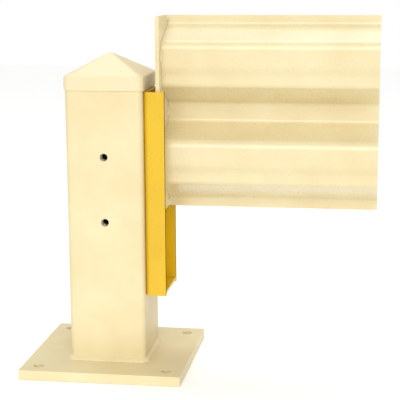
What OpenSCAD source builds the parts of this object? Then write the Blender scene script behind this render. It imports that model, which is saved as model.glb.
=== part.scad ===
// Square guard-rail post on a base plate, with a drop-in bracket and the end of the rail it holds.
// Millimetres. Origin: centre of the base plate's underside. X runs along the rail, +Y is the
// back of the rail, +Z is up. The rail is drawn part of the way out of its bracket.

/* [Base plate] */
// Side of the square base plate
base_w = 266.7; // [220:0.1:320]
// Thickness of the base plate
base_t = 15.9; // [10:0.1:25]
// Distance from the plate's edges to each anchor hole's centre
anchor_inset = 27; // [20:0.5:40]
// Diameter of the anchor holes
anchor_d = 17.5; // [12:0.5:24]

/* [Post tube] */
// Outside width of the square tube
post_w = 127; // [110:0.5:160]
// Wall of the tube
post_t = 4.76; // [3:0.01:7]
// Outside corner radius of the tube
post_r = 9.5; // [8:0.5:14]
// Height of the tube's top end above the ground
post_top = 485.8; // [400:0.1:700]
// Leg of the weld bead round the foot of the tube
foot_leg = 6; // [3:0.5:10]

/* [Post cap] */
// Wall of the moulded cap
cap_t = 1.8; // [1.2:0.1:4]
// Gap between the cap's skirt and the tube
cap_gap = 0.2; // [0.1:0.05:1]
// Length of skirt below the tube's top end
cap_skirt = 20.8; // [10:0.1:40]
// Height of the seat ribs between the tube's end and the eave
cap_seat = 3.2; // [1:0.1:8]
// Rise of the pyramid from the eave to its tip
cap_rise = 32.5; // [15:0.5:60]
// Width of the flat at the pyramid's tip
cap_tip = 7; // [2:0.5:20]
// Depth that the locating ribs reach into the tube
cap_rib_depth = 14; // [5:0.5:30]
// Gap between the locating ribs and the tube's inner wall
cap_rib_gap = 0.3; // [0.1:0.1:1]

/* [Face bolts] */
// Nominal diameter of the bolts that hold a bracket
bolt_d = 12; // [10:1:14]
// Depth of their thread
thread_depth = 0.9; // [0.5:0.05:1.2]
// Extra diameter of each bolt hole
bolt_hole_extra = 1; // [0.5:0.1:2]
// Height from the tube's top down to the middle of the pair
bolt_drop = 182.3; // [150:0.1:240]
// Distance between the two bolts of a face
bolt_pitch = 107.5; // [80:0.5:160]
// Length of the bolt under its head
bolt_len = 30; // [25:1:45]
// Width across the flats of the bolt's head
bolt_head_af = 18; // [16:0.5:22]
// Height of the bolt's head
bolt_head_h = 7.5; // [5:0.5:10]
// Width of the flat washers' rim round the bolt hole
flat_washer_rim = 5.5; // [4:0.5:8]
// Thickness of the flat washers
flat_washer_t = 2.5; // [1.5:0.1:4]
// Width of the split lock washers' rim
lock_washer_rim = 3.75; // [3:0.05:5]
// Thickness of the split lock washers
lock_washer_t = 2.5; // [1.5:0.1:4]
// Gap between the ends of a split lock washer
lock_split = 2; // [1:0.1:3]
// Width across the flats of the weld nuts
nut_af = 19; // [17:0.5:24]
// Thickness of the weld nuts
nut_t = 10; // [6:0.5:14]
// Gap round a bolt's thread in its nut
thread_gap = 0.05; // [0.02:0.01:0.2]

/* [Bracket] */
// Plate of the bracket
bracket_t = 4.76; // [3:0.01:8]
// Height of the bracket
bracket_h = 336; // [260:0.5:420]
// Height from the tube's top down to the bracket's top
bracket_drop = 23.8; // [5:0.1:60]
// Inside radius of the bracket's two bends
bracket_bend = 3.2; // [1:0.1:6]
// Reach of the flanges past the rail's end plate
flange_lap = 8.75; // [4:0.25:20]
// Sideways play of the rail's end plate in the pocket
pocket_play = 4.08; // [1:0.01:10]
// Gap between the end plate and the back flange that it leans on
lean_gap = 0.3; // [0.2:0.05:0.5]
// Gap between the bolt heads and the rail's end plate
head_gap = 1.64; // [0.5:0.01:5]
// Height of the pocket's floor above the bracket's lower end
floor_raise = 3; // [2:0.5:10]
// Gap round the pocket's floor before it is welded
floor_gap = 0.1; // [0.05:0.05:0.5]

/* [Rail] */
// Sheet that the rail is rolled from
rail_t = 2.66; // [1.5:0.01:5]
// Depth of the rail from its back face to the face of its ribs
rail_depth = 66; // [45:0.1:90]
// Length of the rail, with its end plate
rail_len = 355.6; // [200:0.1:900]
// Height of the flat strip along the top and bottom edge
edge_h = 17; // [12:0.5:40]
// Height of the flat valley between the ribs
valley_h = 33; // [24:0.5:60]
// Height over which a rib's upper slope comes forward
rise_h = 26.5; // [20:0.5:50]
// Height of a rib's flat face
crest_h = 36.5; // [25:0.5:60]
// Height of the shallow bevel under a rib's face
bevel_h = 15.5; // [10:0.5:30]
// How far the bevel steps back
bevel_back = 6.7; // [2:0.1:15]
// Height of the lower face below the bevel
lip_h = 16; // [12:0.5:30]
// Height over which a rib's lower slope goes back
fall_h = 32; // [20:0.5:60]
// Thickness of the rail's end plate
plate_t = 6.35; // [4:0.05:10]
// Margin of the end plate in front of the ribs
plate_front = 17.6; // [5:0.1:30]
// Margin of the end plate behind the rail
plate_back = 4.4; // [1:0.1:10]
// Leg of the stitch welds between the rail and its end plate
stitch_leg = 4; // [2:0.5:6]
// Height of the rail above its seat on the pocket's floor, as drawn
rail_lift = 127.2; // [0:0.1:200]

/* [Hidden] */
$fn = 64;
EPS = 0.01;
POST_COLOR = [0.98, 0.92, 0.73];
BRACKET_COLOR = [0.96, 0.80, 0.23];
STEEL_COLOR = [0.66, 0.66, 0.64];

// Post
bore_w = post_w - 2 * post_t;
bore_r = post_r - post_t;
bolt_hole_d = bolt_d + bolt_hole_extra;
bolt_z = post_top - bolt_drop;
bolt_root_d = bolt_d - 2 * thread_depth;
nut_bore_d = bolt_root_d + 2 * thread_gap;

// Cap
skirt_in = post_w + 2 * cap_gap;
skirt_out = skirt_in + 2 * cap_t;
skirt_z = post_top - cap_skirt;
eave_z = post_top + cap_seat;

// The end plate leans on the pocket's back flange
plate_depth = rail_depth + plate_front + plate_back;
pocket_w = plate_depth + pocket_play;
plate_y = pocket_w / 2 - lean_gap - plate_depth;

// Rail profile, on the middle of the sheet: Y of the back, the rib's face and its lower lip
back_y = plate_y + plate_depth - plate_back - rail_t / 2;
crest_y = plate_y + plate_front + rail_t / 2;
lip_y = crest_y + bevel_back;
rib_h = rise_h + crest_h + bevel_h + lip_h + fall_h;
rail_h = 2 * edge_h + 2 * rib_h + valley_h;

// Bracket and the rail's place in it
bracket_w = pocket_w + 2 * bracket_t;
web_x = post_w / 2;
pocket_x = web_x + bracket_t;
head_x = pocket_x + flat_washer_t + lock_washer_t;
plate_x = head_x + bolt_head_h + head_gap;
sheet_x = plate_x + plate_t;
flange_x = sheet_x + flange_lap;
bracket_z = post_top - bracket_drop - bracket_h;
floor_z = bracket_z + floor_raise;
rail_z = floor_z + bracket_t + rail_lift;

// Bend radii of the rail on the middle of the sheet: flat strips, rib's face, bevel, lower lip
EDGE_BEND = 8;
CREST_BEND = 14;
BEVEL_BEND = 20;
LIP_BEND = 8;
BEND_STEPS = 6;
// Stitch welds: the flat that each is on, counted from the top corner, and its side, 1 is the back
STITCHES = [[0, -1], [2, -1], [2, 1], [6, -1], [8, -1], [8, 1], [12, -1]];
// Share of its flat's straight stretch that a stitch weld covers
STITCH_SHARE = 0.8;

FACES = [["front", -90], ["right", 0], ["back", 90], ["left", 180]];
ROWS = [["lower", bolt_z - bolt_pitch / 2], ["upper", bolt_z + bolt_pitch / 2]];

// A square with true arcs at its corners, centred on the origin
module round_square(w, r) {
    square([w, w - 2 * r], center = true);
    square([w - 2 * r, w], center = true);
    for (x = [-1, 1], y = [-1, 1])
        translate([x, y] * (w / 2 - r)) circle(r);
}

// A bar of three-sided section: one leg down the +Z wall, one along the +X floor, run along Y
module fillet_bar(leg, length) {
    rotate([90, 0, 0]) translate([0, 0, -length / 2])
        linear_extrude(length) polygon([[0, 0], [leg, 0], [0, leg]]);
}

module base_plate() {
    spot = base_w / 2 - anchor_inset;
    color(POST_COLOR) difference() {
        translate([-base_w / 2, -base_w / 2, 0]) cube([base_w, base_w, base_t]);
        for (x = [-spot, spot], y = [-spot, spot])
            translate([x, y, -1]) cylinder(d = anchor_d, h = base_t + 2);
    }
}

module post_tube() {
    color(POST_COLOR) difference() {
        translate([0, 0, base_t]) linear_extrude(post_top - base_t) difference() {
            round_square(post_w, post_r);
            round_square(bore_w, bore_r);
        }
        for (row = ROWS) translate([0, 0, row[1]]) {
            rotate([0, 90, 0]) cylinder(d = bolt_hole_d, h = post_w + 2, center = true);
            rotate([90, 0, 0]) cylinder(d = bolt_hole_d, h = post_w + 2, center = true);
        }
    }
}

// Fillet bead round the foot of the tube, on the base plate
module foot_weld() {
    color(POST_COLOR) translate([0, 0, base_t]) for (face = FACES) rotate([0, 0, face[1]]) {
        translate([post_w / 2, 0, 0]) fillet_bar(foot_leg, post_w - 2 * post_r);
        translate([post_w / 2 - post_r, post_w / 2 - post_r, 0]) rotate_extrude(angle = 90)
            polygon([[post_r, 0], [post_r + foot_leg, 0], [post_r, foot_leg]]);
    }
}

// A pyramid with rounded corners that stands on z = 0
module pyramid(w, r, rise, tip) {
    hull() {
        linear_extrude(EPS) round_square(w, r, $fn = 32);
        translate([0, 0, rise - EPS]) cylinder(d = tip, h = EPS, $fn = 32);
    }
}

module post_cap() {
    color(POST_COLOR) {
        translate([0, 0, skirt_z]) linear_extrude(eave_z - skirt_z) difference() {
            round_square(skirt_out, post_r + cap_gap + cap_t);
            round_square(skirt_in, post_r + cap_gap);
        }
        translate([0, 0, eave_z]) difference() {
            pyramid(skirt_out, post_r + cap_gap + cap_t, cap_rise, cap_tip);
            translate([0, 0, -EPS])
                pyramid(skirt_in, post_r + cap_gap, cap_rise - cap_t, cap_tip - cap_t);
        }
        for (turn = [0, 90]) rotate([0, 0, turn]) cap_rib();
    }
}

// One of the two crossed ribs: it seats on the tube's end and locates in its bore
module cap_rib() {
    reach = bore_w / 2 - cap_rib_gap;
    translate([0, cap_t / 2, 0]) rotate([90, 0, 0]) linear_extrude(cap_t) polygon([
        [-reach, post_top - cap_rib_depth], [reach, post_top - cap_rib_depth], [reach, post_top],
        [skirt_in / 2 + EPS, post_top], [skirt_in / 2 + EPS, eave_z],
        [0, eave_z + cap_rise - cap_t],
        [-skirt_in / 2 - EPS, eave_z], [-skirt_in / 2 - EPS, post_top], [-reach, post_top]]);
}

// A hexagonal nut welded inside one face of the tube
module weld_nut(turn, z) {
    color(STEEL_COLOR) rotate([0, 0, turn]) translate([bore_w / 2, 0, z]) rotate([0, -90, 0])
        difference() {
            cylinder(d = nut_af / cos(30), h = nut_t, $fn = 6);
            translate([0, 0, -1]) cylinder(d = nut_bore_d, h = nut_t + 2);
        }
}

// Section of the pocket: its back corners follow the bracket's bends
module pocket_section(w, x0, x1, r) {
    translate([x0 + r, -w / 2]) square([x1 - x0 - r, w]);
    translate([x0, r - w / 2]) square([x1 - x0, w - 2 * r]);
    for (side = [-1, 1]) translate([x0 + r, side * (w / 2 - r)]) circle(r);
}

module bracket_channel() {
    color(BRACKET_COLOR) difference() {
        translate([0, 0, bracket_z]) linear_extrude(bracket_h) difference() {
            pocket_section(bracket_w, web_x, flange_x, bracket_bend + bracket_t);
            pocket_section(pocket_w, pocket_x, flange_x + 1, bracket_bend);
        }
        for (row = ROWS) translate([web_x - 1, 0, row[1]]) rotate([0, 90, 0])
            cylinder(d = bolt_hole_d, h = bracket_t + 2);
    }
}

module bracket_floor() {
    color(BRACKET_COLOR) translate([0, 0, floor_z]) linear_extrude(bracket_t)
        pocket_section(pocket_w - 2 * floor_gap, pocket_x + floor_gap, flange_x, bracket_bend);
}

// Bead under the pocket's floor, along the web and both flanges
module bracket_floor_weld() {
    run = flange_x - pocket_x - 2 * bracket_bend;
    color(BRACKET_COLOR) translate([0, 0, floor_z]) mirror([0, 0, 1]) {
        translate([pocket_x, 0, 0]) fillet_bar(floor_raise, pocket_w - 2 * bracket_bend);
        for (side = [-1, 1]) translate([pocket_x + bracket_bend + run / 2, side * pocket_w / 2, 0])
            rotate([0, 0, -90 * side]) fillet_bar(floor_raise, run);
    }
}

// Hex bolt through the bracket's web, with its thread drawn at the root
module bracket_bolt(z) {
    plain = head_x - bore_w / 2;
    color(STEEL_COLOR) translate([head_x, 0, z]) rotate([0, 90, 0]) {
        cylinder(d = bolt_head_af / cos(30), h = bolt_head_h, $fn = 6);
        translate([0, 0, -plain]) cylinder(d = bolt_d, h = plain);
        translate([0, 0, -bolt_len]) cylinder(d = bolt_root_d, h = bolt_len);
    }
}

module washer(rim, thickness, x, z) {
    translate([x, 0, z]) rotate([0, 90, 0]) difference() {
        cylinder(d = bolt_hole_d + 2 * rim, h = thickness);
        translate([0, 0, -1]) cylinder(d = bolt_hole_d, h = thickness + 2);
    }
}

module flat_washer(z) {
    color(STEEL_COLOR) washer(flat_washer_rim, flat_washer_t, pocket_x, z);
}

module lock_washer(z) {
    color(STEEL_COLOR) difference() {
        washer(lock_washer_rim, lock_washer_t, pocket_x + flat_washer_t, z);
        translate([pocket_x, -lock_split / 2, z]) cube([bolt_head_h, lock_split, bolt_d]);
    }
}

// Corners of the rail's profile as [y, z, bend radius], from the top edge down
function rib_corners(z) = [
    [back_y, z, EDGE_BEND],
    [crest_y, z - rise_h, CREST_BEND],
    [crest_y, z - rise_h - crest_h, BEVEL_BEND],
    [lip_y, z - rise_h - crest_h - bevel_h, BEVEL_BEND],
    [lip_y, z - rib_h + fall_h, LIP_BEND],
    [back_y, z - rib_h, EDGE_BEND]];
rail_corners = concat([[back_y, rail_h, 0]], rib_corners(rail_h - edge_h),
    rib_corners(edge_h + rib_h), [[back_y, 0, 0]]);

function flat(p) = [p[0], p[1]];
function unit(v) = v / norm(v);
// Direction from one corner to another, and half the angle inside corner i
function heading(i, j) = unit(flat(rail_corners[j]) - flat(rail_corners[i]));
function half_angle(i) = acos(heading(i, i - 1) * heading(i, i + 1)) / 2;
// Length that the bend takes from the flats beside corner i
function tangent(i) = rail_corners[i][2] == 0 ? 0 : rail_corners[i][2] / tan(half_angle(i));
// Points of one face of the sheet round the bend at corner i
function bend(i, side) =
    let (up = heading(i, i - 1), down = heading(i, i + 1), r = rail_corners[i][2],
         turn = sign(up[1] * down[0] - up[0] * down[1]),
         centre = flat(rail_corners[i]) + unit(up + down) * r / sin(half_angle(i)),
         start = flat(rail_corners[i]) + up * tangent(i) - centre,
         first = atan2(start[1], start[0]),
         sweep = turn * (180 - 2 * half_angle(i)))
    [for (k = [0 : BEND_STEPS]) let (angle = first + sweep * k / BEND_STEPS)
        centre + (r - turn * side * rail_t / 2) * [cos(angle), sin(angle)]];
// One face of the whole sheet: side 1 is the back, side -1 the front
function face_line(side) = concat(
    [[back_y + side * rail_t / 2, rail_h]],
    [for (i = [1 : len(rail_corners) - 2])
        each bend(i, side)],
    [[back_y + side * rail_t / 2, 0]]);
function reversed(list) = [for (i = [len(list) - 1 : -1 : 0]) list[i]];

module rail_panel() {
    color(POST_COLOR) translate([sheet_x, 0, rail_z]) rotate([90, 0, 90])
        linear_extrude(rail_len - plate_t)
            polygon(concat(face_line(1), reversed(face_line(-1))));
}

module rail_end_plate() {
    color(POST_COLOR) translate([plate_x, plate_y, rail_z])
        cube([plate_t, plate_depth, rail_h]);
}

// A stitch weld on one face of the flat that runs down from corner i
module stitch(i, side) {
    high = rail_corners[i][1] - tangent(i);
    low = rail_corners[i + 1][1] + tangent(i + 1);
    length = (high - low) * STITCH_SHARE;
    translate([sheet_x, rail_corners[i][0] + side * rail_t / 2, rail_z + (low + high - length) / 2])
        linear_extrude(length) polygon([[0, 0], [stitch_leg, 0], [0, side * stitch_leg]]);
}

module rail_end_weld() {
    color(POST_COLOR) for (weld = STITCHES) stitch(weld[0], weld[1]);
}

base_plate();
post_tube();
foot_weld();
post_cap();
for (face = FACES, row = ROWS)
    weld_nut(face[1], row[1]);
bracket_channel();
bracket_floor();
bracket_floor_weld();
for (row = ROWS) {
    bracket_bolt(row[1]);
    lock_washer(row[1]);
    flat_washer(row[1]);
}
rail_panel();
rail_end_plate();
rail_end_weld();
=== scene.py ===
"""Square guard-rail post on a base plate, with its drop-in bracket and the end of the rail it holds.

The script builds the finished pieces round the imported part, in metres, in the order in which the
post is put together: plate, tube, foot weld, nuts, bracket, bolts, cap, rail, then the studio.
"""
import math

import bmesh
import bpy
from mathutils import Euler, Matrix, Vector


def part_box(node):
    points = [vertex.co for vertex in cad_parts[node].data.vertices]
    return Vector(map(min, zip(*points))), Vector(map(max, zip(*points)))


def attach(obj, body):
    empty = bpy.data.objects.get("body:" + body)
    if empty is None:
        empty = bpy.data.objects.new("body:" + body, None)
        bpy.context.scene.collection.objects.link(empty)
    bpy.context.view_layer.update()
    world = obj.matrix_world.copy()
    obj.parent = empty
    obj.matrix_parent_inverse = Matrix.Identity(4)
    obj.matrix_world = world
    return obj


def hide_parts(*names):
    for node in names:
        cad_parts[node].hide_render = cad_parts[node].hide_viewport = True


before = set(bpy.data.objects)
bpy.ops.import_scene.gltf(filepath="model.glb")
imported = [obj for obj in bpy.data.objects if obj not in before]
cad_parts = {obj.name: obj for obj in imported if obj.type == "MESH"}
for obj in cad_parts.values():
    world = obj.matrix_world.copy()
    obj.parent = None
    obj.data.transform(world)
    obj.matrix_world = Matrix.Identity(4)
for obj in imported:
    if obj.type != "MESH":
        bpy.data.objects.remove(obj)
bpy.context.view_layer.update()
MM = 0.001

# ---------------------------------------------------------------------------------------------
# Base plate
# A square of 16 mm hot-rolled steel plate with four drilled anchor holes, sheared to size.
# It is shot-blasted and powder coated together with the tube that is welded to it.
# ---------------------------------------------------------------------------------------------
ANCHOR_HOLE = 17.5 * MM
ANCHOR_INSET = 27 * MM
PLATE_CORNER = 1.6 * MM
SHEARED_EDGE = 0.8 * MM
HOLE_SIDES = 48
CUT_SPARE = 4 * MM
CREAM = "#E0D2A7"
CREAM_SHADE = "#D9C798"
CREAM_BARE = "#F3EBD0"


def start_piece(name, primitive, scale=(1, 1, 1), **settings):
    """Adds a primitive with nothing else selected, and fixes its size and place in its mesh."""
    bpy.ops.object.select_all(action="DESELECT")
    primitive(**settings)
    piece = bpy.context.object
    piece.name = name
    piece.scale = scale
    bpy.ops.object.transform_apply(location=True, rotation=True, scale=True)
    return piece


def block(name, low, high):
    """A cube primitive stretched between two corners."""
    middle = (Vector(low) + Vector(high)) / 2
    return start_piece(name, bpy.ops.mesh.primitive_cube_add, size=1, location=middle,
                       scale=Vector(high) - Vector(low))


def focus(piece):
    """Selects one piece only, and makes it the active one."""
    bpy.ops.object.select_all(action="DESELECT")
    piece.select_set(True)
    bpy.context.view_layer.objects.active = piece


def edit(piece):
    """Opens edit mode on one piece only."""
    focus(piece)
    bpy.ops.object.mode_set(mode="EDIT")


def leave():
    """Goes back to object mode."""
    bpy.ops.object.mode_set(mode="OBJECT")


def pick(kind, test):
    """Selects the vertices, edges or faces that pass the test, and nothing else."""
    bpy.ops.mesh.select_mode(type=kind)
    bpy.ops.mesh.select_all(action="DESELECT")
    mesh = bmesh.from_edit_mesh(bpy.context.edit_object.data)
    items = {"VERT": mesh.verts, "EDGE": mesh.edges, "FACE": mesh.faces}[kind]
    for item in items:
        if test(item):
            item.select_set(True)
    mesh.select_flush_mode()
    bmesh.update_edit_mesh(bpy.context.edit_object.data)


def modify(piece, kind, **settings):
    """Adds one modifier and applies it."""
    focus(piece)
    modifier = piece.modifiers.new(kind, kind)
    for name, value in settings.items():
        setattr(modifier, name, value)
    bpy.ops.object.modifier_apply(modifier=modifier.name)


def combine(piece, other, operation):
    """Cuts the other solid out of a piece, or keeps what they share, and throws the other away."""
    modify(piece, "BOOLEAN", object=other, operation=operation, solver="EXACT")
    bpy.data.objects.remove(other, do_unlink=True)


def drill(piece, centre, axis, diameter, depth):
    """Drills a round hole along X, Y or Z."""
    turn = {"X": (0, math.pi / 2, 0), "Y": (math.pi / 2, 0, 0), "Z": (0, 0, 0)}[axis]
    bit = start_piece("bit", bpy.ops.mesh.primitive_cylinder_add, vertices=HOLE_SIDES,
                      radius=diameter / 2, depth=depth, location=centre, rotation=turn)
    combine(piece, bit, "DIFFERENCE")


def soften(piece, width, segments=3, angle=50):
    """Breaks the sharp edges of a piece."""
    modify(piece, "BEVEL", width=width, segments=segments, limit_method="ANGLE",
           angle_limit=math.radians(angle))


def shade(piece, angle=32):
    """Smooth shading, creased where faces meet at more than the angle, with flat faces kept flat."""
    focus(piece)
    bpy.ops.object.shade_smooth_by_angle(angle=math.radians(angle))
    modify(piece, "WEIGHTED_NORMAL", keep_sharp=True, weight=60)


def hand_over(piece, material, body, node):
    """Gives a finished piece its material, its moving body and the node it stands for."""
    shade(piece)
    piece.data.materials.clear()
    piece.data.materials.append(material)
    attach(piece, body)
    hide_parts(node)


def linear(code):
    """Linear colour of an sRGB hex code."""
    parts = [int(code[i:i + 2], 16) / 255 for i in (1, 3, 5)]
    return (*[c / 12.92 if c <= 0.04045 else ((c + 0.055) / 1.055) ** 2.4 for c in parts], 1)


def add_node(tree, kind, settings, inputs):
    """Adds a node, sets its properties, and gives each input a value or a link."""
    node = tree.nodes.new("ShaderNode" + kind)
    for name, value in settings.items():
        setattr(node, name, value)
    for name, value in inputs.items():
        if isinstance(value, bpy.types.NodeSocket):
            tree.links.new(value, node.inputs[name])
        else:
            node.inputs[name].default_value = value
    return node


def mixed(tree, factor, colour, other):
    """The mix of two colours, each given as a value or a link."""
    return add_node(tree, "Mix", {"data_type": "RGBA"}, {0: factor, 6: colour, 7: other}).outputs[2]


def start_material(name):
    """A new material, its node tree, its shader, and the object's own coordinates."""
    material = bpy.data.materials.new(name)
    material.use_nodes = True
    tree = material.node_tree
    place = add_node(tree, "TexCoord", {}, {}).outputs["Object"]
    return material, tree, tree.nodes["Principled BSDF"], place


def powder_coat(name, colour, shade_colour, thin_colour, roughness, peel_depth, coat):
    """Baked polyester powder: an even gloss with orange peel, slightly cloudy in colour, and a
    thinner, lighter film where it draws back from sharp edges."""
    material, tree, paint, place = start_material(name)
    # Clouds about 90 mm across, and specks of powder about 3 mm across
    cloud = add_node(tree, "TexNoise", {}, {"Vector": place, "Scale": 11, "Detail": 4})
    speck = add_node(tree, "TexNoise", {}, {"Vector": place, "Scale": 330, "Detail": 3})
    clouding = add_node(tree, "MapRange", {}, {"Value": cloud.outputs["Fac"], "From Min": 0.35,
                                               "From Max": 0.7})
    tinted = mixed(tree, clouding.outputs["Result"], linear(colour), linear(shade_colour))
    # The film thins over edges: the rounded normal turns away from the true one there
    rounded = add_node(tree, "Bevel", {"samples": 4}, {"Radius": 0.9 * MM})
    true_normal = add_node(tree, "NewGeometry", {}, {}).outputs["Normal"]
    likeness = add_node(tree, "VectorMath", {"operation": "DOT_PRODUCT"},
                        {0: rounded.outputs["Normal"], 1: true_normal})
    edge = add_node(tree, "MapRange", {}, {"Value": likeness.outputs["Value"], "From Min": 0.985,
                                           "From Max": 0.86})
    patchy = add_node(tree, "MapRange", {}, {"Value": speck.outputs["Fac"], "From Min": 0.38,
                                             "From Max": 0.62})
    worn = add_node(tree, "Math", {"operation": "MULTIPLY"},
                    {0: edge.outputs["Result"], 1: patchy.outputs["Result"]})
    filmed = mixed(tree, worn.outputs["Value"], tinted, linear(thin_colour))
    tree.links.new(filmed, paint.inputs["Base Color"])
    gloss = add_node(tree, "MapRange", {}, {"Value": speck.outputs["Fac"], "From Min": 0.3,
                                            "From Max": 0.7, "To Min": roughness - 0.05,
                                            "To Max": roughness + 0.08})
    tree.links.new(gloss.outputs["Result"], paint.inputs["Roughness"])
    # Orange peel with waves about 2.5 mm apart, over the slow waves of rolled steel
    peel = add_node(tree, "TexNoise", {}, {"Vector": place, "Scale": 400, "Detail": 1})
    wave = add_node(tree, "TexNoise", {}, {"Vector": place, "Scale": 16, "Detail": 1})
    slow = add_node(tree, "Bump", {}, {"Height": wave.outputs["Fac"], "Strength": 0.25,
                                       "Distance": 1.2 * MM})
    fine = add_node(tree, "Bump", {}, {"Height": peel.outputs["Fac"], "Strength": 0.35,
                                       "Distance": peel_depth, "Normal": slow.outputs["Normal"]})
    tree.links.new(fine.outputs["Normal"], paint.inputs["Normal"])
    paint.inputs["Coat Weight"].default_value = coat
    paint.inputs["Coat Roughness"].default_value = 0.12
    paint.inputs["IOR"].default_value = 1.5
    return material


cream_coat = powder_coat("cream_powder_coat_on_plate", CREAM, CREAM_SHADE, CREAM_BARE, 0.46,
                         0.07 * MM, 0.1)

low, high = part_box("base_plate")
plate_top = high[2]
base_plate = block("base_plate_finished", low, high)
edit(base_plate)
pick("EDGE", lambda e: abs(e.verts[0].co.z - e.verts[1].co.z) > MM)
bpy.ops.mesh.bevel(offset=PLATE_CORNER, segments=4, affect="EDGES")
leave()
for side_x in (-1, 1):
    for side_y in (-1, 1):
        hole = (side_x * (high[0] - ANCHOR_INSET), side_y * (high[1] - ANCHOR_INSET), plate_top / 2)
        drill(base_plate, hole, "Z", ANCHOR_HOLE, plate_top + CUT_SPARE)
soften(base_plate, SHEARED_EDGE)
hand_over(base_plate, cream_coat, "post", "base_plate")

# ---------------------------------------------------------------------------------------------
# Post tube
# A square welded steel tube of 127 mm with a 4.8 mm wall, saw-cut at both ends and drilled with
# two clearance holes in each face. It is coated together with the plate.
# ---------------------------------------------------------------------------------------------
TUBE_WALL = 4.76 * MM
TUBE_CORNER = 9.5 * MM
CORNER_SEGMENTS = 10
BOLT_HOLE = 13 * MM
SAWN_EDGE = 0.4 * MM


def extrude(way):
    """Extrudes what is selected along a vector."""
    bpy.ops.mesh.extrude_region_move(TRANSFORM_OT_translate={"value": way})


def leave_outward():
    """Turns all faces outward and goes back to object mode."""
    bpy.ops.mesh.select_all(action="SELECT")
    bpy.ops.mesh.normals_make_consistent(inside=False)
    leave()


def square_skin(name, width, corner, low_z, high_z):
    """An open skin of rounded square outline, standing between two heights."""
    piece = start_piece(name, bpy.ops.mesh.primitive_plane_add, size=width, location=(0, 0, low_z))
    edit(piece)
    bpy.ops.mesh.select_all(action="SELECT")
    bpy.ops.mesh.bevel(offset=corner, segments=CORNER_SEGMENTS, affect="VERTICES")
    bpy.ops.mesh.select_all(action="SELECT")
    extrude((0, 0, high_z - low_z))
    pick("FACE", lambda f: abs(f.normal.z) > 0.9)
    bpy.ops.mesh.delete(type="ONLY_FACE")
    leave_outward()
    return piece


low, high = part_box("post_tube")
tube_half = high[0]
tube_top = high[2]
bore_half = tube_half - TUBE_WALL
post_tube = square_skin("post_tube_finished", 2 * tube_half, TUBE_CORNER, low[2], tube_top)
modify(post_tube, "SOLIDIFY", thickness=TUBE_WALL, offset=-1, use_even_offset=True)
bolt_rows = {}
for row in ("lower", "upper"):
    low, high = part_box("flat_washer_" + row)
    bolt_rows[row] = (low[2] + high[2]) / 2
for height in bolt_rows.values():
    for axis in "XY":
        drill(post_tube, (0, 0, height), axis, BOLT_HOLE, 2 * tube_half + CUT_SPARE)
soften(post_tube, SAWN_EDGE, 2)
hand_over(post_tube, cream_coat, "post", "post_tube")

# ---------------------------------------------------------------------------------------------
# Foot weld
# The fillet bead that joins the tube to its plate all the way round. It is laid with a wire
# welder, so it shows close ripples, and it is coated with the rest.
# ---------------------------------------------------------------------------------------------
BEAD_STEP = 0.55 * MM
BEAD_PITCH = 2.8 * MM
BEAD_RIPPLE = 0.09
BEAD_HOLLOW = 0.2
BEAD_LAG = 0.45
BEAD_SIDES = 12
BEAD_START = 0.3
RIPPLE_MEAN = 0.6
RIPPLE_AT_TOES = 0.4
MERGED = 0.01 * MM


def lay_bead(name, trail, up, leg, closed):
    """A weld bead: a grid rolled into a fillet section along a trail of (point, outward) pairs."""
    last = len(trail) - 1
    length = sum((trail[i + 1][0] - trail[i][0]).length for i in range(last))
    ripples = round(length / BEAD_PITCH)
    piece = start_piece(name, bpy.ops.mesh.primitive_grid_add, x_subdivisions=last,
                        y_subdivisions=BEAD_SIDES, size=2)
    for vertex in piece.data.vertices:
        row = round((vertex.co.x + 1) / 2 * last)
        corner = round((vertex.co.y + 1) / 2 * BEAD_SIDES)
        point, outward = trail[row]
        if corner in (0, BEAD_SIDES):
            vertex.co = point
            continue
        angle = math.pi / 2 * (corner - 1) / (BEAD_SIDES - 2)
        crown = math.sin(2 * angle)
        wave = abs(math.sin(math.pi * (ripples * row / last + BEAD_LAG * crown)))
        reach = leg * (1 - BEAD_HOLLOW * crown + BEAD_RIPPLE
                       * (wave - RIPPLE_MEAN) * (RIPPLE_AT_TOES + crown))
        if not closed:
            from_end = min(row, last - row) / last * length
            reach *= min(1, BEAD_START + (1 - BEAD_START) * math.sqrt(from_end / leg))
        vertex.co = point + outward * reach * math.cos(angle) + up * reach * math.sin(angle)
    edit(piece)
    bpy.ops.mesh.select_all(action="SELECT")
    bpy.ops.mesh.remove_doubles(threshold=MERGED)
    bpy.ops.mesh.fill_holes(sides=0)
    leave_outward()
    return piece


def straight_trail(start, end, outward):
    """Points along a straight run, each with the same outward direction."""
    start, end = Vector(start), Vector(end)
    steps = round((end - start).length / BEAD_STEP)
    return [(start.lerp(end, i / steps), Vector(outward)) for i in range(steps + 1)]


def square_trail(half, corner, z):
    """Points round a rounded square, with their outward directions, back to the first point."""
    trail = []
    flat_steps = round(2 * (half - corner) / BEAD_STEP)
    arc_steps = round(corner * math.pi / 2 / BEAD_STEP)
    for quarter in range(4):
        turn = Euler((0, 0, quarter * math.pi / 2))
        for i in range(flat_steps):
            along = (half - corner) * (2 * i / flat_steps - 1)
            trail.append((Vector((half, along, z)), Vector((1, 0, 0)), turn))
        for i in range(arc_steps):
            angle = math.pi / 2 * i / arc_steps
            outward = Vector((math.cos(angle), math.sin(angle), 0))
            centre = Vector((half - corner, half - corner, z))
            trail.append((centre + outward * corner, outward, turn))
    turned = []
    for point, outward, turn in trail:
        spot, way = point.copy(), outward.copy()
        spot.rotate(turn)
        way.rotate(turn)
        turned.append((spot, way))
    return turned + turned[:1]


low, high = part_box("foot_weld")
foot_leg = high[2] - low[2]
foot_weld = lay_bead("foot_weld_finished", square_trail(tube_half, TUBE_CORNER, plate_top),
                     Vector((0, 0, 1)), foot_leg, True)
hand_over(foot_weld, cream_coat, "post", "foot_weld")

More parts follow.
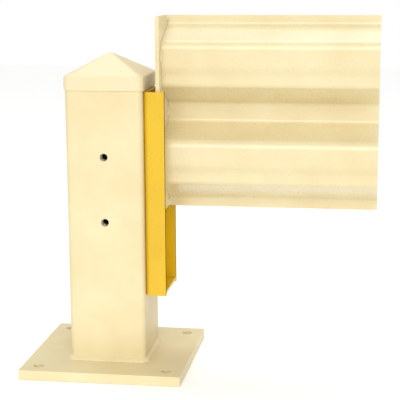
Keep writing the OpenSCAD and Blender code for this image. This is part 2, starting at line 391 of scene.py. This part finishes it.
# ---------------------------------------------------------------------------------------------
# Weld nuts
# Eight hexagonal M12 nuts of plain steel, welded behind the holes on the inside of the tube
# before it is coated. Each is turned and tapped from bar.
# ---------------------------------------------------------------------------------------------
NUT_FLATS = 19 * MM
THREAD_MAJOR = 12 * MM
THREAD_MINOR = 10.2 * MM
THREAD_PITCH = 1.75 * MM
THREAD_GAP = 0.1 * MM
THREAD_RINGS = 6
THREAD_SIDES = 36
THREAD_SLOPE = 1.25
NEAR = 0.1 * MM
HEX_FACE = 0.95
NUT_STEEL = "#C4C1BA"
NUT_STEEL_DARK = "#9A968F"


def threaded_rod(name, major, minor, length):
    """A rod along +Z from the origin, with a true helical thread."""
    rings = round(length / THREAD_PITCH * THREAD_RINGS)
    piece = start_piece(name, bpy.ops.mesh.primitive_circle_add, vertices=THREAD_SIDES,
                        radius=minor / 2, fill_type="NGON")
    edit(piece)
    bpy.ops.mesh.select_all(action="SELECT")
    for _ in range(rings):
        extrude((0, 0, length / rings))
    leave_outward()
    for vertex in piece.data.vertices:
        if vertex.co.z < NEAR or vertex.co.z > length - NEAR:
            continue
        turn = math.atan2(vertex.co.y, vertex.co.x) / (2 * math.pi)
        phase = (vertex.co.z / THREAD_PITCH - turn) % 1
        crest = 1 - abs(2 * phase - 1)
        factor = (minor + (major - minor) * min(1, THREAD_SLOPE * crest)) / minor
        vertex.co.x *= factor
        vertex.co.y *= factor
    return piece


def extrude_rings(steps, height, size):
    """Extrudes an outline up through (height, size) steps, and resizes it round Z at each."""
    for next_height, next_size in steps:
        extrude((0, 0, next_height - height))
        factor = next_size / size
        bpy.ops.transform.resize(value=(factor, factor, 1), center_override=(0, 0, next_height))
        height, size = next_height, next_size


def turned(name, sides, profile):
    """A solid turned about Z, from a list of (height, radius) steps going up."""
    height, radius = profile[0]
    piece = start_piece(name, bpy.ops.mesh.primitive_circle_add, vertices=sides, radius=radius,
                        fill_type="NGON", location=(0, 0, height))
    edit(piece)
    bpy.ops.mesh.select_all(action="SELECT")
    extrude_rings(profile[1:], height, radius)
    leave_outward()
    return piece


def hexagon(name, flats, height, both_ends):
    """A hexagonal prism along +Z from the origin, with its corners turned off at 30 degrees."""
    corner = flats / math.sqrt(3)
    face = flats / 2 * HEX_FACE
    slope = (corner - face) * math.tan(math.radians(30))
    piece = start_piece(name, bpy.ops.mesh.primitive_cylinder_add, vertices=6, radius=corner,
                        depth=height, location=(0, 0, height / 2), rotation=(0, 0, math.pi / 6))
    foot = [(0, face), (slope, corner)] if both_ends else [(0, corner)]
    combine(piece, turned("lathe", HOLE_SIDES, [*foot, (height - slope, corner), (height, face)]),
            "INTERSECT")
    return piece


def plain_steel(name, colour, dark_colour, roughness, grain):
    """Bare or plated steel: metallic, faintly clouded, with fine turning marks in the gloss."""
    material, tree, metal, place = start_material(name)
    metal.inputs["Metallic"].default_value = 1
    # Clouds of plating or oil about 6 mm across, and tool marks finer than a millimetre
    cloud = add_node(tree, "TexNoise", {}, {"Vector": place, "Scale": 160, "Detail": 5})
    mark = add_node(tree, "TexNoise", {}, {"Vector": place, "Scale": grain, "Detail": 3})
    tinted = mixed(tree, cloud.outputs["Fac"], linear(colour), linear(dark_colour))
    tree.links.new(tinted, metal.inputs["Base Color"])
    gloss = add_node(tree, "MapRange", {}, {"Value": mark.outputs["Fac"], "From Min": 0.3,
                                            "From Max": 0.7, "To Min": roughness - 0.08,
                                            "To Max": roughness + 0.1})
    tree.links.new(gloss.outputs["Result"], metal.inputs["Roughness"])
    bump = add_node(tree, "Bump", {}, {"Height": mark.outputs["Fac"], "Strength": 0.3,
                                       "Distance": 0.05 * MM})
    tree.links.new(bump.outputs["Normal"], metal.inputs["Normal"])
    return material


def copy_piece(piece, name):
    """A copy of a piece with a mesh of its own."""
    twin = piece.copy()
    twin.data = piece.data.copy()
    twin.name = name
    bpy.context.collection.objects.link(twin)
    return twin


def place_piece(piece, turn, spot):
    """Turns a piece about the origin, moves it, and keeps both in its mesh."""
    focus(piece)
    piece.rotation_euler = turn
    piece.location = spot
    bpy.ops.object.transform_apply(location=True, rotation=True, scale=True)


nut_steel = plain_steel("plain_turned_steel", NUT_STEEL, NUT_STEEL_DARK, 0.38, 1400)
low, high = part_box("weld_nut_right_lower")
nut_height = high[0] - low[0]
nut = hexagon("weld_nut_pattern", NUT_FLATS, nut_height, True)
tap = threaded_rod("tap", THREAD_MAJOR + THREAD_GAP, THREAD_MINOR + THREAD_GAP,
                   nut_height + 4 * THREAD_PITCH)
place_piece(tap, (0, 0, 0), (0, 0, -2 * THREAD_PITCH))
combine(nut, tap, "DIFFERENCE")
edit(nut)
bpy.ops.mesh.select_all(action="SELECT")
bpy.ops.mesh.remove_doubles(threshold=MERGED)
bpy.ops.mesh.dissolve_degenerate(threshold=MERGED)
leave()
for face, turn in (("front", -90), ("right", 0), ("back", 90), ("left", 180)):
    for row, height in bolt_rows.items():
        weld_nut = copy_piece(nut, f"weld_nut_{face}_{row}_finished")
        place_piece(weld_nut, (0, -math.pi / 2, 0), (bore_half, 0, height))
        place_piece(weld_nut, (0, 0, math.radians(turn)), (0, 0, 0))
        hand_over(weld_nut, nut_steel, "post", f"weld_nut_{face}_{row}")
bpy.data.objects.remove(nut, do_unlink=True)

# ---------------------------------------------------------------------------------------------
# Bracket channel
# The drop-in pocket for the rail: 4.8 mm steel plate folded twice on a press brake, with two bolt
# holes in its web. It is powder coated in a deep glossy safety yellow.
# ---------------------------------------------------------------------------------------------
BRACKET_BEND = 7.96 * MM
BEND_SEGMENTS = 8
SAFETY_YELLOW = "#DAB10B"
SAFETY_SHADE = "#D2A909"
SAFETY_THIN = "#EBCB5A"
# Dark brown painted shade for the flanges' cut ends, which face away from the light
CUT_END_PAINTED_SHADE = "#6A420C"
CUT_END_PAINTED_SHADE_DARK = "#4E3008"

yellow_coat = powder_coat("safety_yellow_powder_coat", SAFETY_YELLOW, SAFETY_SHADE, SAFETY_THIN,
                          0.3, 0.05 * MM, 0.2)
# A material that paints shade on the cut ends, with its gloss turned down so that they stay dark
cut_end_painted_shade = powder_coat("painted_shade_on_cut_ends", CUT_END_PAINTED_SHADE, CUT_END_PAINTED_SHADE_DARK, CUT_END_PAINTED_SHADE,
                       0.8, 0.05 * MM, 0)
cut_end_painted_shade.node_tree.nodes["Principled BSDF"].inputs["Specular IOR Level"].default_value = 0.05
low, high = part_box("bracket_channel")
bracket_low, bracket_high = Vector(low), Vector(high)
pocket_x = bracket_low.x + TUBE_WALL
pocket_half = bracket_high.y - TUBE_WALL
bracket = start_piece("bracket_channel_finished", bpy.ops.mesh.primitive_plane_add, size=1,
                      rotation=(0, math.pi / 2, 0),
                      location=(bracket_low.x, 0, (bracket_low.z + bracket_high.z) / 2),
                      scale=(bracket_high.z - bracket_low.z, bracket_high.y - bracket_low.y, 1))
edit(bracket)
for side in (-1, 1):
    pick("EDGE", lambda e: all(side * v.co.y > pocket_half for v in e.verts)
         and all(v.co.x < bracket_low.x + MM for v in e.verts))
    extrude((bracket_high.x - bracket_low.x, 0, 0))
pick("EDGE", lambda e: all(abs(v.co.x - bracket_low.x) < MM and abs(v.co.y) > pocket_half
                           for v in e.verts))
bpy.ops.mesh.bevel(offset=BRACKET_BEND, segments=BEND_SEGMENTS, affect="EDGES")
leave_outward()
modify(bracket, "SOLIDIFY", thickness=TUBE_WALL, offset=-1, use_even_offset=True)
for height in bolt_rows.values():
    drill(bracket, (bracket_low.x + TUBE_WALL / 2, 0, height), "X", BOLT_HOLE,
          TUBE_WALL + CUT_SPARE)
soften(bracket, SAWN_EDGE)
hand_over(bracket, yellow_coat, "post", "bracket_channel")
# Painted shade: the flanges' cut ends face away from the light, so they get a dark brown colour in
# place of the yellow
bracket.data.materials.append(cut_end_painted_shade)
for face in bracket.data.polygons:
    if face.normal.x > 0.7 and face.center.x > bracket_high.x - SAWN_EDGE:
        face.material_index = 1

# ---------------------------------------------------------------------------------------------
# Bracket floor
# A small sheared plate that closes the pocket's lower end and carries the rail's end plate. Its
# back corners follow the bracket's bends, and a fillet bead holds it from below.
# ---------------------------------------------------------------------------------------------
BEND_INSIDE = 3.2 * MM

low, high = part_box("bracket_floor")
bracket_floor = block("bracket_floor_finished", low, high)
edit(bracket_floor)
pick("EDGE", lambda e: all(v.co.x < low[0] + MM for v in e.verts)
     and abs(e.verts[0].co.z - e.verts[1].co.z) > MM)
bpy.ops.mesh.bevel(offset=BEND_INSIDE, segments=BEND_SEGMENTS, affect="EDGES")
leave()
soften(bracket_floor, SAWN_EDGE, 2)
hand_over(bracket_floor, yellow_coat, "post", "bracket_floor")

floor_leg = low[2] - bracket_low.z
weld_left = Vector((pocket_x, -pocket_half + BEND_INSIDE, low[2]))
weld_right = Vector((pocket_x, pocket_half - BEND_INSIDE, low[2]))
runs = [straight_trail(weld_left, weld_right, (1, 0, 0))]
for side in (-1, 1):
    near = Vector((pocket_x + BEND_INSIDE, side * pocket_half, low[2]))
    far = Vector((bracket_high.x - BEND_INSIDE, side * pocket_half, low[2]))
    runs.append(straight_trail(near, far, (0, -side, 0)))


def join_beads(name, trails, up, leg):
    """Lays one open bead on each trail, and makes them one piece."""
    beads = [lay_bead(name, trail, Vector(up), leg, False) for trail in trails]
    bpy.ops.object.select_all(action="DESELECT")
    for bead in beads:
        bead.select_set(True)
    bpy.context.view_layer.objects.active = beads[0]
    bpy.ops.object.join()
    beads[0].name = name
    return beads[0]


floor_weld = join_beads("bracket_floor_weld_finished", runs, (0, 0, -1), floor_leg)
hand_over(floor_weld, yellow_coat, "post", "bracket_floor_weld")

# ---------------------------------------------------------------------------------------------
# Bracket bolts and washers
# Two zinc-plated M12 hex bolts, each through a split lock washer and a flat washer, hold the
# bracket's web to the nuts inside the tube. Heads are forged, threads rolled, washers stamped.
# ---------------------------------------------------------------------------------------------
HEAD_FLATS = 18 * MM
PLAIN_SHANK = 14.5 * MM
FLAT_WASHER = 24 * MM
LOCK_WASHER = 20.5 * MM
LOCK_SPLIT = 2 * MM
LOCK_STEPS = 48
WASHER_EDGE = 0.3 * MM
ZINC = "#C9CCCE"
ZINC_DARK = "#9FA3A6"

zinc_plate = plain_steel("bright_zinc_plated_steel", ZINC, ZINC_DARK, 0.28, 900)
for row, height in bolt_rows.items():
    low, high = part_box("bracket_bolt_" + row)
    flat_low, flat_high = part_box("flat_washer_" + row)
    lock_low, lock_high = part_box("lock_washer_" + row)
    head_x = lock_high[0]
    head_height = high[0] - head_x

    bolt = hexagon("bracket_bolt_" + row + "_finished", HEAD_FLATS, head_height, False)
    shank_length = head_x - low[0]
    thread_length = shank_length - PLAIN_SHANK
    thread = threaded_rod("thread", THREAD_MAJOR - THREAD_GAP, THREAD_MINOR - THREAD_GAP,
                          thread_length + THREAD_PITCH)
    place_piece(thread, (0, 0, 0), (0, 0, -shank_length))
    shank = turned("shank", THREAD_SIDES, [(-PLAIN_SHANK - MM, THREAD_MINOR / 2),
                                           (-PLAIN_SHANK, THREAD_MAJOR / 2 - THREAD_GAP),
                                           (MM, THREAD_MAJOR / 2 - THREAD_GAP)])
    combine(bolt, shank, "UNION")
    combine(bolt, thread, "UNION")
    place_piece(bolt, (0, math.pi / 2, 0), (head_x, 0, height))
    hand_over(bolt, zinc_plate, "post", "bracket_bolt_" + row)

    washer = start_piece("flat_washer_" + row + "_finished", bpy.ops.mesh.primitive_circle_add,
                         vertices=HOLE_SIDES, radius=FLAT_WASHER / 2, fill_type="NGON")
    edit(washer)
    bpy.ops.mesh.select_all(action="SELECT")
    bpy.ops.mesh.inset(thickness=(FLAT_WASHER - BOLT_HOLE) / 2)
    bpy.ops.mesh.delete(type="FACE")
    bpy.ops.mesh.select_all(action="SELECT")
    extrude((0, 0, flat_high[0] - flat_low[0]))
    leave_outward()
    place_piece(washer, (0, math.pi / 2, 0), (flat_low[0], 0, height))
    soften(washer, WASHER_EDGE, 3)
    hand_over(washer, zinc_plate, "post", "flat_washer_" + row)

    rim = (LOCK_WASHER - BOLT_HOLE) / 2
    split_angle = LOCK_SPLIT / (LOCK_WASHER / 2 - rim / 2)
    spring = start_piece("lock_washer_" + row + "_finished", bpy.ops.mesh.primitive_plane_add,
                         size=1, rotation=(math.pi / 2, 0, 0),
                         location=((LOCK_WASHER - rim) / 2, 0, (lock_high[0] - lock_low[0]) / 2),
                         scale=(rim, lock_high[0] - lock_low[0], 1))
    edit(spring)
    bpy.ops.mesh.select_all(action="SELECT")
    bpy.ops.mesh.bevel(offset=WASHER_EDGE, segments=2, affect="VERTICES")
    bpy.ops.mesh.select_all(action="SELECT")
    bpy.ops.mesh.spin(steps=LOCK_STEPS, angle=2 * math.pi - split_angle, center=(0, 0, 0),
                      axis=(0, 0, 1))
    bpy.ops.mesh.select_all(action="SELECT")
    bpy.ops.mesh.remove_doubles(threshold=MERGED)
    bpy.ops.mesh.fill_holes(sides=0)
    leave_outward()
    # The split stands at the top once the washer's axis lies along X
    place_piece(spring, (0, 0, math.pi + split_angle / 2), (0, 0, 0))
    place_piece(spring, (0, math.pi / 2, 0), (lock_low[0], 0, height))
    hand_over(spring, zinc_plate, "post", "lock_washer_" + row)

# ---------------------------------------------------------------------------------------------
# Post cap
# A one-piece injection-moulded polyethylene cap in the colour of the post. Its skirt slips over
# the tube, and two crossed ribs inside seat on the tube's end and keep it centred in the bore.
# ---------------------------------------------------------------------------------------------
CAP_WALL = 1.8 * MM
CAP_CORNER = 11.5 * MM
CAP_BULGE = 0.12 * MM
SKIRT_DEPTH = 20.8 * MM
SKIRT_SWELL = 10 * MM
SHOULDER = 4.5 * MM
SHOULDER_STEP = math.radians(12.5)
CAP_TIP = 5 * MM
TIP_RISE = 1 * MM
TIP_ROUNDING = ((0.4 * MM, 0.72), (0.1 * MM, 0.4), (0, 0.1))
SEAT_REACH = 63.4 * MM
SEAT_RISE = 3 * MM
RIB_FIT = 0.3 * MM
RIB_STRIP = 10 * MM
RIB_LEDGE = 0.4 * MM
RIB_TIP = 2 * MM
MOULDED_EDGE = 0.25 * MM
CAP_COLOUR = "#E1D4AE"
CAP_SHADE = "#DDCDA3"

low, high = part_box("post_cap")
cap_half, cap_top = high[0], high[2]
rib_foot = low[2]
eave = tube_top + SEAT_RISE
skirt_foot = tube_top - SKIRT_DEPTH
slope_top = cap_top - TIP_RISE
# Half widths of the moulded outline going up: skirt, rounded shoulder, slope, rounded tip
outline = [(skirt_foot + SKIRT_SWELL, cap_half), (eave - SHOULDER, cap_half)]
for step in range(1, 6):
    lean = SHOULDER_STEP * step
    outline.append((eave - SHOULDER + SHOULDER * math.sin(lean),
                    cap_half - SHOULDER * (1 - math.cos(lean))))
shoulder_z, shoulder_half = outline[-1]
outline += [(shoulder_z + (slope_top - shoulder_z) * part,
             shoulder_half + (CAP_TIP - shoulder_half) * part) for part in (0.25, 0.5, 0.75, 1)]
outline += [(cap_top - drop, CAP_TIP * share) for drop, share in TIP_ROUNDING]
cap = start_piece("post_cap_finished", bpy.ops.mesh.primitive_plane_add,
                  size=2 * (cap_half - CAP_BULGE), location=(0, 0, skirt_foot))
edit(cap)
bpy.ops.mesh.select_all(action="SELECT")
bpy.ops.mesh.bevel(offset=CAP_CORNER, segments=CORNER_SEGMENTS, affect="VERTICES")
bpy.ops.mesh.select_all(action="SELECT")
extrude_rings(outline, skirt_foot, cap_half - CAP_BULGE)
pick("FACE", lambda f: f.calc_center_median().z < skirt_foot + NEAR)
bpy.ops.mesh.delete(type="ONLY_FACE")
leave_outward()
modify(cap, "SOLIDIFY", thickness=CAP_WALL, offset=-1, use_even_offset=True)

rib_half = bore_half - RIB_FIT
rib_steps = [(tube_top, rib_half), (tube_top + RIB_LEDGE, SEAT_REACH),
             (eave - MM, SEAT_REACH), (cap_top - CAP_WALL, RIB_TIP)]
ribs = []
for turn in (0, math.pi / 2):
    rib = start_piece("cap_rib", bpy.ops.mesh.primitive_plane_add, size=1,
                      rotation=(math.pi / 2, 0, 0), location=(0, 0, rib_foot + RIB_STRIP / 2),
                      scale=(2 * rib_half, RIB_STRIP, 1))
    edit(rib)
    height, half = rib_foot + RIB_STRIP, rib_half
    for next_height, next_half in rib_steps:
        pick("EDGE", lambda e: all(abs(v.co.z - height) < MERGED for v in e.verts))
        extrude((0, 0, next_height - height))
        bpy.ops.transform.resize(value=(next_half / half, 1, 1),
                                 center_override=(0, 0, next_height))
        height, half = next_height, next_half
    leave()
    modify(rib, "SOLIDIFY", thickness=CAP_WALL, offset=0)
    place_piece(rib, (0, 0, turn), (0, 0, 0))
    ribs.append(rib)
combine(ribs[0], ribs[1], "UNION")
combine(cap, ribs[0], "UNION")
soften(cap, MOULDED_EDGE, 2, 60)


def moulded_plastic(name, colour, shade_colour):
    """Polyethylene straight from the mould: a satin skin that lets a little light in, with the
    fine even texture of the tool and soft flow clouds."""
    material, tree, plastic, place = start_material(name)
    # Flow clouds about 60 mm across and a tool texture about 0.8 mm across
    cloud = add_node(tree, "TexNoise", {}, {"Vector": place, "Scale": 16, "Detail": 3})
    grain = add_node(tree, "TexNoise", {}, {"Vector": place, "Scale": 1200, "Detail": 2})
    tinted = mixed(tree, cloud.outputs["Fac"], linear(colour), linear(shade_colour))
    tree.links.new(tinted, plastic.inputs["Base Color"])
    gloss = add_node(tree, "MapRange", {}, {"Value": grain.outputs["Fac"], "From Min": 0.3,
                                            "From Max": 0.7, "To Min": 0.36, "To Max": 0.5})
    tree.links.new(gloss.outputs["Result"], plastic.inputs["Roughness"])
    bump = add_node(tree, "Bump", {}, {"Height": grain.outputs["Fac"], "Strength": 0.3,
                                       "Distance": 0.06 * MM})
    tree.links.new(bump.outputs["Normal"], plastic.inputs["Normal"])
    plastic.inputs["Subsurface Weight"].default_value = 0.12
    plastic.inputs["Subsurface Radius"].default_value = (3 * MM, 2 * MM, 1 * MM)
    plastic.inputs["Subsurface Scale"].default_value = 1
    plastic.inputs["IOR"].default_value = 1.51
    return material


cap_plastic = moulded_plastic("moulded_polyethylene", CAP_COLOUR, CAP_SHADE)
hand_over(cap, cap_plastic, "post", "post_cap")

# ---------------------------------------------------------------------------------------------
# Rail end plate
# A sheared plate of 6 mm steel across the rail's end. It drops into the bracket's pocket clear
# of the two bolt heads, and lifts straight out again.
# ---------------------------------------------------------------------------------------------
low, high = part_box("rail_end_plate")
end_plate_face = high[0]
rail_foot, rail_top = low[2], high[2]
end_plate = block("rail_end_plate_finished", low, high)
edit(end_plate)
pick("EDGE", lambda e: abs(e.verts[0].co.x - e.verts[1].co.x) > MM)
bpy.ops.mesh.bevel(offset=PLATE_CORNER, segments=4, affect="EDGES")
leave()
soften(end_plate, SHEARED_EDGE / 2, 2)
rail_coat = powder_coat("cream_powder_coat_on_rolled_rail", CREAM, CREAM_SHADE, CREAM_BARE, 0.3,
                        0.03 * MM, 0.45)
hand_over(end_plate, rail_coat, "rail", "rail_end_plate")

# ---------------------------------------------------------------------------------------------
# Rail panel
# A guard rail with two ribs, cold rolled from 2.7 mm steel strip, so every bend is an arc and the
# section is the same all along. Only its first third of a metre is here, sawn square.
# ---------------------------------------------------------------------------------------------
SHEET = 2.66 * MM
EDGE_STRIP = 17 * MM
RISE = 26.5 * MM
CREST = 36.5 * MM
BEVEL_HEIGHT = 15.5 * MM
BEVEL_BACK = 6.7 * MM
LIP = 16 * MM
FALL = 32 * MM
EDGE_BEND = 8 * MM
CREST_BEND = 14 * MM
BEVEL_BEND = 20 * MM
LIP_BEND = 8 * MM
ROLL_SEGMENTS = 10

low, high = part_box("rail_panel")
back_y = high[1] - SHEET / 2
crest_y = low[1] + SHEET / 2
lip_y = crest_y + BEVEL_BACK
rib_height = RISE + CREST + BEVEL_HEIGHT + LIP + FALL


def rib_corners(z):
    """Corners of one rib going down from z, as (y, z, bend radius) on the middle of the sheet."""
    return [(back_y, z, EDGE_BEND),
            (crest_y, z - RISE, CREST_BEND),
            (crest_y, z - RISE - CREST, BEVEL_BEND),
            (lip_y, z - RISE - CREST - BEVEL_HEIGHT, BEVEL_BEND),
            (lip_y, z - rib_height + FALL, LIP_BEND),
            (back_y, z - rib_height, EDGE_BEND)]


corners = [(back_y, rail_top, 0), *rib_corners(rail_top - EDGE_STRIP),
           *rib_corners(rail_foot + EDGE_STRIP + rib_height), (back_y, rail_foot, 0)]


def tangent(i):
    """Length that the bend at a corner takes from each of the flats beside it."""
    here = Vector(corners[i][:2])
    half_angle = (Vector(corners[i - 1][:2]) - here).angle(Vector(corners[i + 1][:2]) - here) / 2
    return corners[i][2] / math.tan(half_angle)


rail = start_piece("rail_panel_finished", bpy.ops.mesh.primitive_plane_add, size=1,
                   rotation=(math.pi / 2, 0, 0),
                   location=((low[0] + high[0]) / 2, back_y, rail_top - EDGE_STRIP / 2),
                   scale=(high[0] - low[0], EDGE_STRIP, 1))
edit(rail)
for (y, z, _), (next_y, next_z, _) in zip(corners[1:], corners[2:]):
    pick("EDGE", lambda e: all(abs(v.co.z - z) < NEAR for v in e.verts))
    extrude((0, next_y - y, next_z - z))
for i, (y, z, radius) in enumerate(corners[1:-1], 1):
    pick("EDGE", lambda e: all((v.co.yz - Vector((y, z))).length < NEAR for v in e.verts))
    bpy.ops.mesh.bevel(offset=tangent(i), segments=ROLL_SEGMENTS, affect="EDGES")
leave_outward()
modify(rail, "SOLIDIFY", thickness=SHEET, offset=0, use_even_offset=True)
soften(rail, SAWN_EDGE, 2, 70)
hand_over(rail, rail_coat, "rail", "rail_panel")

# ---------------------------------------------------------------------------------------------
# Rail end weld
# Stitch beads where the rail's flats meet the end plate, on the front of each flat and behind
# both ribs.
# ---------------------------------------------------------------------------------------------
STITCH_LEG = 4 * MM
STITCH_SHARE = 0.8
STITCHES = ((0, -1), (2, -1), (2, 1), (6, -1), (8, -1), (8, 1), (12, -1))

stitch_runs = []
for i, side in STITCHES:
    upper = corners[i][1] - (tangent(i) if corners[i][2] else 0)
    lower = corners[i + 1][1] + (tangent(i + 1) if corners[i + 1][2] else 0)
    spare = (upper - lower) * (1 - STITCH_SHARE) / 2
    y = corners[i][0] + side * SHEET / 2
    stitch_runs.append(straight_trail((end_plate_face, y, lower + spare),
                                      (end_plate_face, y, upper - spare), (0, side, 0)))
end_weld = join_beads("rail_end_weld_finished", stitch_runs, (1, 0, 0), STITCH_LEG)
hand_over(end_weld, rail_coat, "rail", "rail_end_weld")

# ---------------------------------------------------------------------------------------------
# Studio
# A pale floor, a bright even backdrop, one softbox above and behind the post, one broad light from
# the front, and the camera.
# ---------------------------------------------------------------------------------------------
FLOOR_SIZE = 12
AMBIENT = 0.64
OVERHEAD_POWER = 24
KEY_FROM = (0.12, -1, 0.5)
KEY_POWER = 1.84
KEY_SPREAD = 50
PAPER_GLOW = 0.12
CAMERA_SPOT = (0.44592, -1.95915, 0.66345)
CAMERA_YAW = 8.669
CAMERA_PITCH = 10.984
CAMERA_ROLL = -0.322
CAMERA_LENS = 109.61

floor = start_piece("studio_floor", bpy.ops.mesh.primitive_plane_add, size=FLOOR_SIZE,
                    location=(0, 0, -0.5 * MM))
paper, tree, paper_shader, place = start_material("pale_studio_paper")
grain = add_node(tree, "TexNoise", {}, {"Vector": place, "Scale": 75, "Detail": 2})
paper_bump = add_node(tree, "Bump", {}, {"Height": grain.outputs["Fac"], "Strength": 0.1,
                                         "Distance": 0.1 * MM})
tree.links.new(paper_bump.outputs["Normal"], paper_shader.inputs["Normal"])
paper_shader.inputs["Base Color"].default_value = linear("#FAFAF9")
paper_shader.inputs["Roughness"].default_value = 0.85
# The paper is lit from behind a little, which keeps its far edge white
paper_shader.inputs["Emission Color"].default_value = (1, 1, 1, 1)
paper_shader.inputs["Emission Strength"].default_value = PAPER_GLOW
floor.data.materials.append(paper)

world = bpy.data.worlds.new("studio")
bpy.context.scene.world = world
world.use_nodes = True
# The backdrop itself is white, but it lights the object more softly than it looks
air = world.node_tree
seen = add_node(air, "Background", {}, {"Color": (1, 1, 1, 1), "Strength": 1})
lighting = air.nodes["Background"]
lighting.inputs["Color"].default_value = (1, 1, 1, 1)
lighting.inputs["Strength"].default_value = AMBIENT
looked_at = add_node(air, "LightPath", {}, {}).outputs["Is Camera Ray"]
backdrop = add_node(air, "MixShader", {}, {0: looked_at, 1: lighting.outputs[0],
                                           2: seen.outputs[0]})
air.links.new(backdrop.outputs[0], air.nodes["World Output"].inputs["Surface"])


def softbox(name, spot, target, width, height, power):
    """A rectangular area light that points at a target."""
    aim = (Vector(target) - Vector(spot)).to_track_quat("-Z", "Y").to_euler()
    bpy.ops.object.light_add(type="AREA", location=spot, rotation=aim)
    lamp = bpy.context.object
    lamp.name = name
    lamp.data.shape = "RECTANGLE"
    lamp.data.size, lamp.data.size_y, lamp.data.energy = width, height, power


softbox("overhead_softbox", (-0.1, 0.9, 2.7), (0.12, 0, 0.3), 2.2, 1.4, OVERHEAD_POWER)
# One broad source, so far off that it lights the floor evenly to its edge
aim = Vector(KEY_FROM).to_track_quat("Z", "Y").to_euler()
bpy.ops.object.light_add(type="SUN", rotation=aim)
key = bpy.context.object
key.name = "broad_key_light"
key.data.energy = KEY_POWER
key.data.angle = math.radians(KEY_SPREAD)

sight = Euler((math.radians(90 - CAMERA_PITCH), 0, math.radians(CAMERA_YAW))).to_matrix()
sight = sight @ Euler((0, 0, math.radians(CAMERA_ROLL))).to_matrix()
bpy.ops.object.camera_add(location=CAMERA_SPOT, rotation=sight.to_euler())
camera = bpy.context.object
camera.data.lens = CAMERA_LENS
bpy.context.scene.camera = camera
bpy.context.scene.view_settings.view_transform = "Standard"
